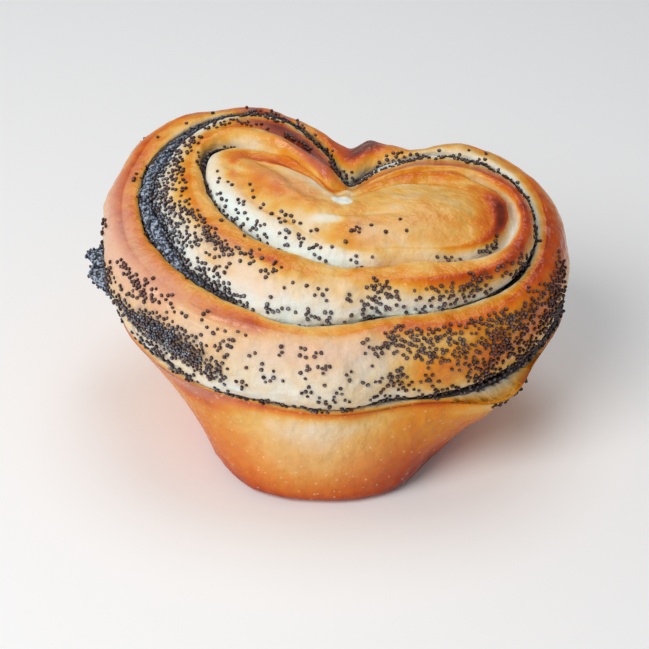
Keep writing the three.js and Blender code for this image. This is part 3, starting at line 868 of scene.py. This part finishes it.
def closed_sheet(name, grid, values):
    """A sheet of dough that closes round its columns."""
    piece = add_grid(name, np.concatenate([grid, grid[:1]], 0))
    for key, value in values.items():
        set_values(piece.data, key, np.concatenate([value, value[:1]], 0))
    bpy.ops.object.mode_set(mode="EDIT")
    bpy.ops.mesh.select_all(action="SELECT")
    bpy.ops.mesh.remove_doubles(threshold=MERGED * MM)
    bpy.ops.mesh.normals_make_consistent(inside=False)
    bpy.ops.object.mode_set(mode="OBJECT")
    bpy.ops.object.shade_smooth()
    return piece


# How far apart the grains of each pattern lie, in mm: the crust's mottling, its wrinkles, pores and
# blisters, the ground seeds that stain it, and those of the paste.
GRAINS = dict(mottle=2, wrinkle=2.38, crumb=0.714, bubble=1.786, ground_seed=0.909, paste=0.769)

# How much the mottling shifts the bake.
MOTTLED = 0.12

# The sockets of a colour mix: its two colours, and what comes out.
BELOW, ABOVE, MIXED = 6, 7, 2


def per_metre(pattern):
    """How many grains of a pattern lie along a metre."""
    return 1 / (GRAINS[pattern] * MM)


def linear(hex_colour):
    """A material colour from its sRGB hex value."""
    parts = [int(hex_colour[i:i + 2], 16) / 255 for i in (1, 3, 5)]
    return [p / 12.92 if p <= 0.04045 else ((p + 0.055) / 1.055) ** 2.4 for p in parts] + [1]


def set_inputs(material, node, inputs):
    """Gives each input of a node a value, or the output of another node."""
    for key, value in inputs.items():
        if isinstance(value, bpy.types.NodeSocket):
            material.node_tree.links.new(value, node.inputs[key])
        else:
            node.inputs[key].default_value = value


def add_node(material, kind, settings=None, inputs=None):
    """A node with its settings, each input a value or the output of another node."""
    node = material.node_tree.nodes.new(kind)
    for key, value in (settings or {}).items():
        setattr(node, key, value)
    set_inputs(material, node, inputs or {})
    return node


def new_material(name):
    material = bpy.data.materials.new(name)
    material.use_nodes = True
    return material, material.node_tree.nodes["Principled BSDF"]


def set_ramp(node, stops):
    ramp = node.color_ramp
    while len(ramp.elements) < len(stops):
        ramp.elements.new(1)
    for element, (place, colour) in zip(ramp.elements, stops):
        element.position = place
        element.color = linear(colour)


def egg_washed_crust():
    """Sweet dough baked under an egg wash: pale and matt where cut, golden to brown and satin on crests."""
    material, shader = new_material("egg_washed_crust")
    place = add_node(material, "ShaderNodeTexCoord").outputs["Object"]
    bake_and_highlight, rose, stain, blister, glaze = (
        add_node(material, "ShaderNodeAttribute", {"attribute_name": name}).outputs["Fac"]
        for name in ("bake_and_highlight", "rose", "stain", "blister", "glaze"))
    mottle, ground, crumb, wrinkle = (
        add_node(material, "ShaderNodeTexNoise",
                 inputs={"Vector": place, "Scale": per_metre(name), "Detail": detail}).outputs["Fac"]
        for name, detail in (("mottle", 4.0), ("ground_seed", 2.0), ("crumb", 3.0), ("wrinkle", 2.0)))
    shift = add_node(material, "ShaderNodeMath", {"operation": "MULTIPLY_ADD"},
                     {0: mottle, 1: MOTTLED, 2: bake_and_highlight})
    level = add_node(material, "ShaderNodeMath", {"operation": "SUBTRACT"},
                     {0: shift.outputs[0], 1: MOTTLED / 2})
    # Colour from the bake, which is lower where highlights are painted on as pale patches.
    ramp = add_node(material, "ShaderNodeValToRGB", inputs={"Fac": level.outputs[0]})
    set_ramp(ramp, [(0, "#E6F0EA"), (0.1, "#EAE2CF"), (0.25, "#EACFA4"), (0.4, "#E6B158"),
                    (0.52, "#E08E20"), (0.64, "#D66E0A"), (0.76, "#C04C02"), (0.88, "#9C3002"),
                    (1, "#641E06")])
    rosy = add_node(material, "ShaderNodeMix", {"data_type": "RGBA"},
                    {"Factor": rose, BELOW: ramp.outputs["Color"], ABOVE: linear("#E4BCA6")})
    specks = add_node(material, "ShaderNodeMapRange",
                      inputs={"Value": ground, "From Min": 0.36, "From Max": 0.56})
    smear = add_node(material, "ShaderNodeMath", {"operation": "MULTIPLY"},
                     {0: specks.outputs["Result"], 1: stain})
    soil = add_node(material, "ShaderNodeValToRGB", inputs={"Fac": stain})
    set_ramp(soil, [(0.3, "#767888"), (0.7, "#555A68"), (1, "#222126")])
    stained = add_node(material, "ShaderNodeMix", {"data_type": "RGBA"},
                       {"Factor": smear.outputs[0],
                        BELOW: rosy.outputs[MIXED], ABOVE: soil.outputs["Color"]})
    cells = add_node(material, "ShaderNodeTexVoronoi",
                     inputs={"Vector": place, "Scale": per_metre("bubble")})
    dots = add_node(material, "ShaderNodeMapRange",
                    inputs={"Value": cells.outputs["Distance"],
                            "From Min": 0.2, "From Max": 0.08, "To Max": 0.38})
    bubbles = add_node(material, "ShaderNodeMath", {"operation": "MULTIPLY"},
                       {0: dots.outputs["Result"], 1: blister})
    bubbled = add_node(material, "ShaderNodeMix", {"data_type": "RGBA"},
                       {"Factor": bubbles.outputs[0],
                        BELOW: stained.outputs[MIXED], ABOVE: linear("#F4DDB4")})
    rough = add_node(material, "ShaderNodeMapRange",
                     inputs={"Value": bake_and_highlight, "From Min": 0.1, "From Max": 0.5, "To Min": 0.6, "To Max": 0.27})
    pores = add_node(material, "ShaderNodeBump",
                     inputs={"Height": crumb, "Strength": 0.35, "Distance": 0.0003})
    bump = add_node(material, "ShaderNodeBump",
                    inputs={"Height": wrinkle, "Strength": 0.4, "Distance": 0.0014,
                            "Normal": pores.outputs["Normal"]})
    coat = add_node(material, "ShaderNodeMath", {"operation": "MULTIPLY"}, {0: glaze, 1: 0.3})
    set_inputs(material, shader, {
        "Base Color": bubbled.outputs[MIXED],
        "Roughness": rough.outputs["Result"],
        "Normal": bump.outputs["Normal"],
        "Subsurface Weight": 0.12,
        "Subsurface Radius": (0.003, 0.0015, 0.0008),
        "Subsurface Scale": 1.0,
        "IOR": 1.45,
        "Specular IOR Level": 0.2,
        "Coat Weight": coat.outputs[0],
        "Coat Normal": bump.outputs["Normal"],
        "Coat Roughness": 0.16,
    })
    return material


def poppy_seed():
    """Ripe poppy seed: slate blue, near black round the edge, with a painted highlight: a pale glint on the
    back.
    """
    material, shader = new_material("poppy_seed")
    tint, painted_glint = (
        add_node(material, "ShaderNodeAttribute", {"attribute_name": name}).outputs["Fac"]
        for name in ("tint", "painted_glint"))
    dark = add_node(material, "ShaderNodeValToRGB", inputs={"Fac": tint})
    set_ramp(dark, [(0, "#333945"), (0.35, "#281E20"), (1, "#361A14")])
    # Painted highlight: the pale colour of the glint on each seed's top.
    light = add_node(material, "ShaderNodeValToRGB", inputs={"Fac": tint})
    set_ramp(light, [(0, "#BCC8D8"), (0.4, "#867A7E"), (1, "#8E5E50")])
    glint = add_node(material, "ShaderNodeMix", {"data_type": "RGBA"},
                     {"Factor": painted_glint, BELOW: dark.outputs["Color"], ABOVE: light.outputs["Color"]})
    set_inputs(material, shader, {"Base Color": glint.outputs[MIXED], "Roughness": 0.6, "IOR": 1.4})
    return material


def poppy_paste():
    """Ground poppy seed filling: moist, near black with a blue-grey bloom, and grainy."""
    material, shader = new_material("poppy_paste")
    place = add_node(material, "ShaderNodeTexCoord").outputs["Object"]
    grain = add_node(material, "ShaderNodeTexNoise",
                     inputs={"Vector": place, "Scale": per_metre("paste"), "Detail": 2.0})
    ramp = add_node(material, "ShaderNodeValToRGB", inputs={"Fac": grain.outputs["Fac"]})
    set_ramp(ramp, [(0.4, "#181A22"), (0.5, "#4A566A"), (0.6, "#AAB6C8")])
    bloom = add_node(material, "ShaderNodeAttribute", {"attribute_name": "bloom"}).outputs["Fac"]
    bloomed = add_node(material, "ShaderNodeMix", {"data_type": "RGBA"},
                       {"Factor": bloom, BELOW: linear("#1A1517"), ABOVE: ramp.outputs["Color"]})
    bump = add_node(material, "ShaderNodeBump",
                    inputs={"Height": grain.outputs["Fac"], "Strength": 0.8, "Distance": 0.0006})
    set_inputs(material, shader, {
        "Base Color": bloomed.outputs[MIXED],
        "Normal": bump.outputs["Normal"],
        "Roughness": 0.55,
    })
    return material


def one_seed():
    """The points and faces of one kidney-shaped seed lying on its side, in millimetres."""
    clear_selection()
    bpy.ops.mesh.primitive_uv_sphere_add(segments=8, ring_count=5, radius=0.5)
    seed = bpy.context.object
    bpy.ops.object.mode_set(mode="EDIT")
    bpy.ops.mesh.select_all(action="SELECT")
    bpy.ops.transform.resize(value=[SEED_LONG * part for part in SEED_SHAPE])
    bpy.ops.object.mode_set(mode="OBJECT")
    points = np.zeros(len(seed.data.vertices) * 3)
    seed.data.vertices.foreach_get("co", points)
    points = points.reshape(-1, 3)
    points[:, 1] += SEED_CURVE * points[:, 0] ** 2
    faces = [tuple(face.vertices) for face in seed.data.polygons]
    mesh = seed.data
    bpy.data.objects.remove(seed)
    bpy.data.meshes.remove(mesh)
    return points, faces


def seed_piece(name, shape, places, normals, sunk, tint, ground, seed, tipped):
    """Many seeds joined as one mesh, each turned its own way, tipped and sunk a little."""
    points, faces = shape
    draw = np.random.default_rng(seed)
    count = len(places)
    turn = draw.uniform(0, 2 * math.pi, count)
    size = draw.uniform(*SEED_SIZES, count) * (1 - ground)
    up = unit(normals + draw.normal(0, tipped, (count, 3)))
    side = unit(np.cross(up, draw.normal(size=(count, 3))))
    front = np.cross(up, side)
    long_way = np.cos(turn)[:, None] * side + np.sin(turn)[:, None] * front
    wide_way = np.cross(up, long_way)
    basis = np.stack([long_way, wide_way, up], 1)
    local = points[None] * size[:, None, None]
    middles = places + normals * (SEED_SHAPE[2] / 2 * SEED_LONG * (1 - 2 * sunk))[:, None]
    joined = (local @ basis + middles[:, None]).reshape(-1, 3) * MM
    step = len(points)
    all_faces = [tuple(v + index * step for v in face) for index in range(count) for face in faces]
    mesh = bpy.data.meshes.new(name)
    mesh.from_pydata(joined.tolist(), [], all_faces)
    # Painted highlight: each seed's top is made paler, more on some seeds than others, so its edge stays
    # near black.
    top_share = points[:, 2] / (SEED_SHAPE[2] / 2 * SEED_LONG)
    painted_glint = np.clip((top_share - 0.5) / 0.5, 0, 1) ** 1.4
    shine = draw.uniform(*SEED_SHINE, count)
    set_values(mesh, "tint", np.repeat(tint, step))
    set_values(mesh, "painted_glint", np.clip(np.outer(shine, painted_glint), 0, 1))
    for face in mesh.polygons:
        face.use_smooth = True
    piece = bpy.data.objects.new(name, mesh)
    bpy.context.collection.objects.link(piece)
    return piece


def heaped(draw):
    """The seeds of each heap: their arc, angles, shares and heights."""
    for name, middle, spread, middle_share, extent, count, high in SEED_HEAPS:
        turn = draw.normal(middle, 0.75 * spread, count)
        along = draw.normal(middle_share, 0.75 * extent, count)
        near = np.exp(-(((turn - middle) / spread) ** 2) - ((along - middle_share) / extent) ** 2)
        yield name, turn, along, high * near * draw.uniform(0, 1, count)


def scattered(draw, arc, grid, whole):
    """The seeds of each small cluster in the patches: their arc, angles, shares and heights."""
    for name, first, last, low, high, count, together in SEED_PATCHES:
        start = int(np.argmax(arc == name))
        for _ in range(max(1, round(count / together))):
            many = 1 + draw.poisson(together - 1)
            turn = draw.uniform(first, last)
            along = draw.uniform(low, high)
            column = int((turn + 180) / 360 * COLUMNS) % COLUMNS
            reach = math.hypot(grid[column, start, 0] - HUB[0], grid[column, start, 1] - HUB[1])
            spread = CLUSTER_SPREAD * math.sqrt(many)
            turns = turn + math.degrees(spread / reach) * draw.normal(size=many)
            shares = along + spread / whole[column, start] * draw.normal(size=many)
            yield name, turns, shares, np.zeros(many)


def patch_places(draw, arc, grid, whole):
    """Columns, rows and heights of the loose seeds, some alone and some lying together."""
    columns = []
    rows = []
    heights = []
    for name, turn, along, high in itertools.chain(heaped(draw), scattered(draw, arc, grid, whole)):
        inside = (along > 0.005) & (along < 0.995)
        columns.append(((turn + 180) / 360 * COLUMNS % COLUMNS)[inside])
        rows.append(np.argmax(arc == name) + along[inside] * (np.sum(arc == name) - 1))
        heights.append(high[inside])
    return np.concatenate(columns), np.concatenate(rows), np.concatenate(heights)


def loose_seeds(shape, arc, grid, tone):
    """The seeds on the cut faces: browner where the dough is, and finely ground where it is stained."""
    draw = np.random.default_rng(11)
    column, row, height = patch_places(draw, arc, grid, arc_length(grid, arc)[1])
    out = unit(sample(outward_normals(grid), column, row))
    places = sample(grid, column, row) + out * height[:, None]
    baked = sample(tone["bake_and_highlight"][..., None], column, row)[:, 0]
    stained = sample(tone["stain"][..., None], column, row)[:, 0]
    ground = GROUND_SMALLER * stained * (draw.uniform(0, 1, len(places)) < 0.8)
    tint = SEED_TINT["raw"] + SEED_TINT["baked"] * baked - SEED_TINT["ground"] * ground
    tint = np.clip(tint + draw.normal(0, SEED_TINT["varies"], len(places)), 0, 1)
    sunk = draw.uniform(0.1, 0.45, len(places))
    kept = spaced(places, SEED_GAP * (1 - ground))
    return seed_piece("poppy_seeds_loose", shape, places[kept], out[kept], sunk[kept], tint[kept],
                      ground[kept], seed=12, tipped=0.22)


def filling(slot, first, last, drawn_in):
    """The paste in a crease between two angles: it bulges where bared, and is drawn in where shut."""
    angle = turned(np.linspace(first, last, int((last - first) / BAND_STEP)))
    cut = slot_cut(slot, angle, PASTE_GAP)
    proud = welling(slot, angle)[2]
    shares = np.linspace(0, 1, MOUTH_POINTS)
    across = shares[None, :, None]
    mouth = cut["lower"][:, None] * (1 - across) + cut["upper"][:, None] * across
    bulge = (proud + PASTE["proud"])[:, None] * np.sqrt(np.clip(1 - (2 * shares - 1) ** 2, 0, 1))[None]
    swollen = 1 + PASTE["swell"] * uneven(placed(mouth, angle), PASTE["swell_long"], seed=9)
    grainy = welled(slot, angle)[:, None] * (bulge > 0.2)
    grains = PASTE["grain"] * uneven(placed(mouth, angle), PASTE["grain_long"], seed=10) * grainy
    shut = drawn_in * (1 - np.clip(around(BARED[slot])(angle) / 0.35, 0, 1))
    mouth = mouth + (bulge * swollen + grains - shut[:, None])[..., None] * cut["out"]
    outline = np.concatenate([mouth, cut["upper_floor"][:, None], cut["lower_floor"][:, None]], 1)
    return placed(outline, angle)


def welled(slot, angle):
    """How far the filling has welled out of a crease, from 0 in the crease to 1 outside it."""
    below, above, _ = welling(slot, angle)
    return np.clip((below + above) / WELLED_WIDTH, 0, 1)


def paste_piece(name, grid, bloom):
    """A band of paste: its outline closes on itself, and its two ends are closed by a face each."""
    piece = add_grid(name, np.concatenate([grid, grid[:, :1]], 1))
    set_values(piece.data, "bloom", np.repeat(bloom, grid.shape[1] + 1))
    bpy.ops.object.mode_set(mode="EDIT")
    bpy.ops.mesh.select_all(action="SELECT")
    bpy.ops.mesh.remove_doubles(threshold=MERGED * MM)
    bpy.ops.mesh.select_all(action="DESELECT")
    bpy.ops.mesh.select_non_manifold()
    bpy.ops.mesh.fill_holes(sides=0)
    bpy.ops.mesh.select_all(action="SELECT")
    bpy.ops.mesh.normals_make_consistent(inside=False)
    bpy.ops.object.mode_set(mode="OBJECT")
    bpy.ops.object.shade_smooth()
    return piece


def around_hub(points):
    """The angle of points round the hub, in degrees."""
    return np.degrees(np.arctan2(points[:, 0] - HUB[0], points[:, 1] - HUB[1]))


def packed_seeds(name, slot, shape, grid, count, seed):
    """Seeds that cover the paste at a crease's mouth, half sunk in it."""
    draw = np.random.default_rng(seed)
    mouth = grid[:, :MOUTH_POINTS]
    normals = unit(np.cross(np.gradient(mouth, axis=1), np.gradient(mouth, axis=0)))
    area = length(np.cross(np.diff(mouth, axis=0)[:, :-1], np.diff(mouth, axis=1)[:-1]))[..., 0]
    cell = draw.choice(area.size, count, p=(area / area.sum()).ravel())
    column = cell // area.shape[1] + draw.uniform(0, 1, count)
    row = cell % area.shape[1] + draw.uniform(0, 1, count)
    places = sample(mouth, column, row)
    wide = length(mouth[:, -1] - mouth[:, 0])[cell // area.shape[1], 0]
    drawn = uneven(places, 6, seed + 2) + np.maximum(-0.25, 1.6 * (wide - PACKED["fills"])) > 0
    from_lobe = np.abs(turned(around_hub(places) - RIGHT_LOBE["angle"]))
    clear = slot != "inner_crease" or from_lobe > RIGHT_LOBE["spread"]
    smooth_lump = hump(around_hub(places), LUMP) if slot == "seam" else 0
    drawn &= draw.uniform(0, 1, count) > PACKED["bare_lump"] * smooth_lump
    stays = np.flatnonzero(drawn & clear)
    kept = stays[spaced(places[stays], PACKED_GAP)]
    column, row, places = column[kept], row[kept], places[kept]
    out = sample(normals, column, row)
    inside = sample(grid[:, MOUTH_POINTS:], column, np.zeros(len(column)))
    out = unit(out * np.sign(np.sum(out * (places - inside), axis=1))[:, None])
    tint = np.clip(0.4 - 0.34 * welled(slot, around_hub(places)) + draw.normal(0, 0.09, len(places)), 0, 1)
    sunk = draw.uniform(0.1, 1.0, len(places))
    ground = GROUND_SMALLER * welled(slot, around_hub(places)) * (draw.uniform(0, 1, len(places)) < 0.6)
    return seed_piece(name, shape, places, out, sunk, tint, ground, seed + 1, tipped=0.6)


# The camera's place, its angles in degrees, and its lens and sensor, in mm.
CAMERA = dict(place=(0.25, -273.65, 208.9), elevation=34.63, roll=3.69, lens=79.51, sensor=36)

# The soft lights: their place and width in metres, power in watts, and colour.
LIGHTS = {
    "key": ((-0.4, -0.45, 0.55), 0.5, 4.5, (1.0, 0.99, 0.98)),
    "fill": ((0.5, -0.6, 0.3), 0.6, 0.12, (1.0, 1.0, 1.0)),
    "over": ((0, 0.3, 0.8), 0.5, 1.6, (0.94, 0.97, 1.0)),
}
LIT = Vector((0, 0, 0.03))
SKY = dict(colour="#E8ECF0", strength=0.36)


def add_camera():
    """The camera of the photograph: from the tip's side and above, rolled a little."""
    elevation = math.radians(CAMERA["elevation"])
    roll = math.radians(CAMERA["roll"])
    back = Vector((0, -math.cos(elevation), math.sin(elevation)))
    level = Vector((1, 0, 0))
    rising = back.cross(level)
    across = level * math.cos(roll) + rising * math.sin(roll)
    upright = rising * math.cos(roll) - level * math.sin(roll)
    data = bpy.data.cameras.new("camera")
    data.sensor_width = CAMERA["sensor"]
    data.lens = CAMERA["lens"]
    camera = bpy.data.objects.new("camera", data)
    turn = Matrix((across, upright, back)).transposed().to_4x4()
    camera.matrix_world = Matrix.Translation(Vector(CAMERA["place"]) * MM) @ turn
    bpy.context.collection.objects.link(camera)
    bpy.context.scene.camera = camera


def add_lights():
    for name, (place, size, power, colour) in LIGHTS.items():
        data = bpy.data.lights.new(name, "AREA")
        data.shape = "DISK"
        data.size = size
        data.energy = power
        data.color = colour
        light = bpy.data.objects.new(name, data)
        light.location = place
        light.rotation_euler = (LIT - Vector(place)).to_track_quat("-Z", "Y").to_euler()
        bpy.context.collection.objects.link(light)
    world = bpy.data.worlds.new("studio")
    world.use_nodes = True
    sky = world.node_tree.nodes["Background"]
    sky.inputs["Color"].default_value = linear(SKY["colour"])
    sky.inputs["Strength"].default_value = SKY["strength"]
    bpy.context.scene.world = world
    bpy.context.scene.view_settings.view_transform = "Standard"


def add_floor():
    clear_selection()
    bpy.ops.mesh.primitive_plane_add(size=6)
    floor = bpy.context.object
    floor.name = "floor"
    material, shader = new_material("pale_floor")
    shader.inputs["Base Color"].default_value = linear("#F8F7F6")
    shader.inputs["Roughness"].default_value = 0.9
    floor.data.materials.append(material)


def dress_dough():
    """The crust, and what the loose seeds need to know of it: its arcs, points and tones."""
    angle, arc, share, grid = dough_rows()
    tone = tones(angle, arc, share, grid)
    grid = grid + outward_normals(grid) * relief(angle, arc, grid)[..., None]
    crust = closed_sheet("bun_crust", grid, tone)
    crust.data.materials.append(egg_washed_crust())
    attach(crust, "root")
    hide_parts("bun_dough")
    return arc, grid, tone


def dress_faces(shape, seed_material, arc, grid, tone):
    seeds = loose_seeds(shape, arc, grid, tone)
    seeds.data.materials.append(seed_material)
    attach(seeds, "root")


def dress_filling(name, shape, seed_material, paste):
    """One band of paste, and the seeds packed in its mouth."""
    slot, first, last = BANDS[name]
    grid = filling(slot, first, last, DRAWN_IN)
    band = paste_piece("paste_" + name, grid, welled(slot, around_hub(grid[:, 0])))
    band.data.materials.append(paste)
    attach(band, "root")
    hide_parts("poppy_filling_" + name)
    mouth = filling(slot, first, last, PACKED["drawn_in"])
    piece_name = "poppy_seeds_packed_" + name
    packed = packed_seeds(piece_name, slot, shape, mouth, PACKED["count"], 30 + len(name))
    packed.data.materials.append(seed_material)
    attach(packed, "root")


def build():
    add_camera()
    arc, grid, tone = dress_dough()
    shape = one_seed()
    seed_material = poppy_seed()
    dress_faces(shape, seed_material, arc, grid, tone)
    paste = poppy_paste()
    for name in BANDS:
        dress_filling(name, shape, seed_material, paste)
    add_floor()
    add_lights()


build()
